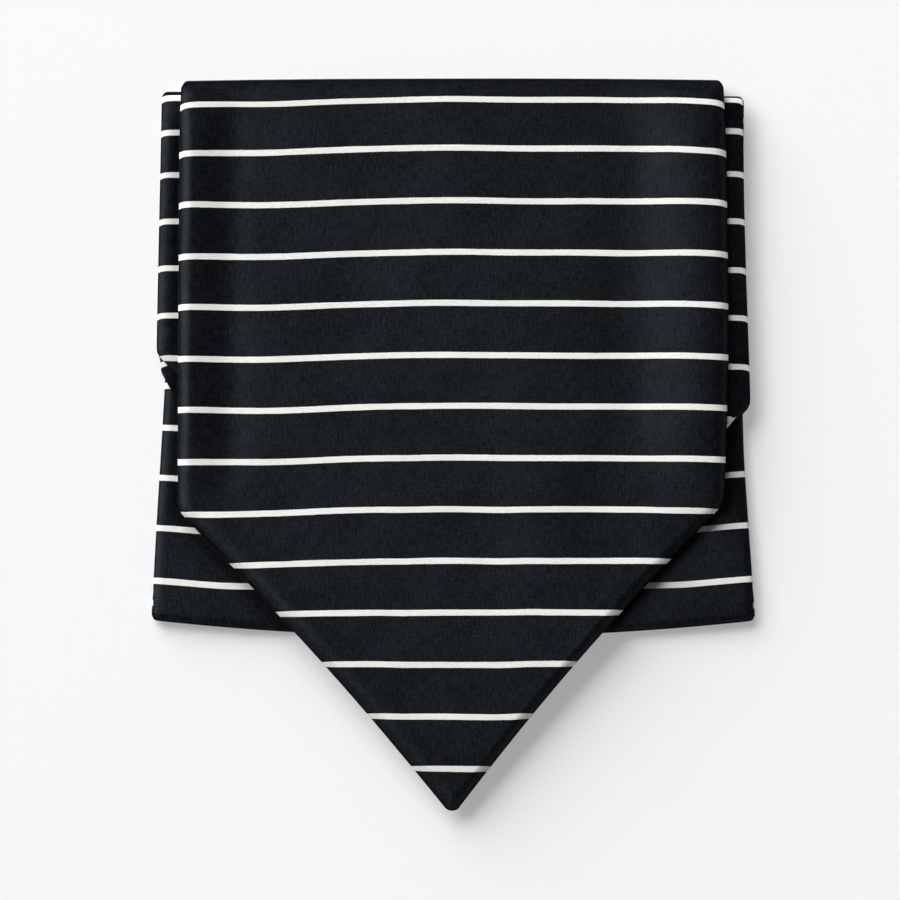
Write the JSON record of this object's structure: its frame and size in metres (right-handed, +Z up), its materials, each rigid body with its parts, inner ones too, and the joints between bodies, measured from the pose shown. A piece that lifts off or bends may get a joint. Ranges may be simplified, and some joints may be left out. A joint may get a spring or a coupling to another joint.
{
  "type": "ascot tie",
  "caption": "Ascot tie folded flat: a soft striped strip of face and back plies, wide pointed blade on top, second pointed blade under it, creased at top and bottom",
  "frame": {"origin": "middle of the folded tie's footprint, on the surface it lies on", "axes": "+X to the right and +Y away from the front blade's point towards the top fold, as the front blade is looked at; +Z up from the surface"},
  "size_m": [0.1656, 0.2008, 0.0117],
  "materials": {
    "face_silk": "black silk with thin off-white woven cross stripes, soft sheen",
    "back_silk": "black silk with thin off-white woven cross stripes, soft sheen, on the back ply"
  },
  "bodies": {
    "root": {"front_blade_face": "face_silk", "front_blade_back": "back_silk", "rear_blade_face": "face_silk", "rear_blade_back": "back_silk"}
  },
  "joints": []
}
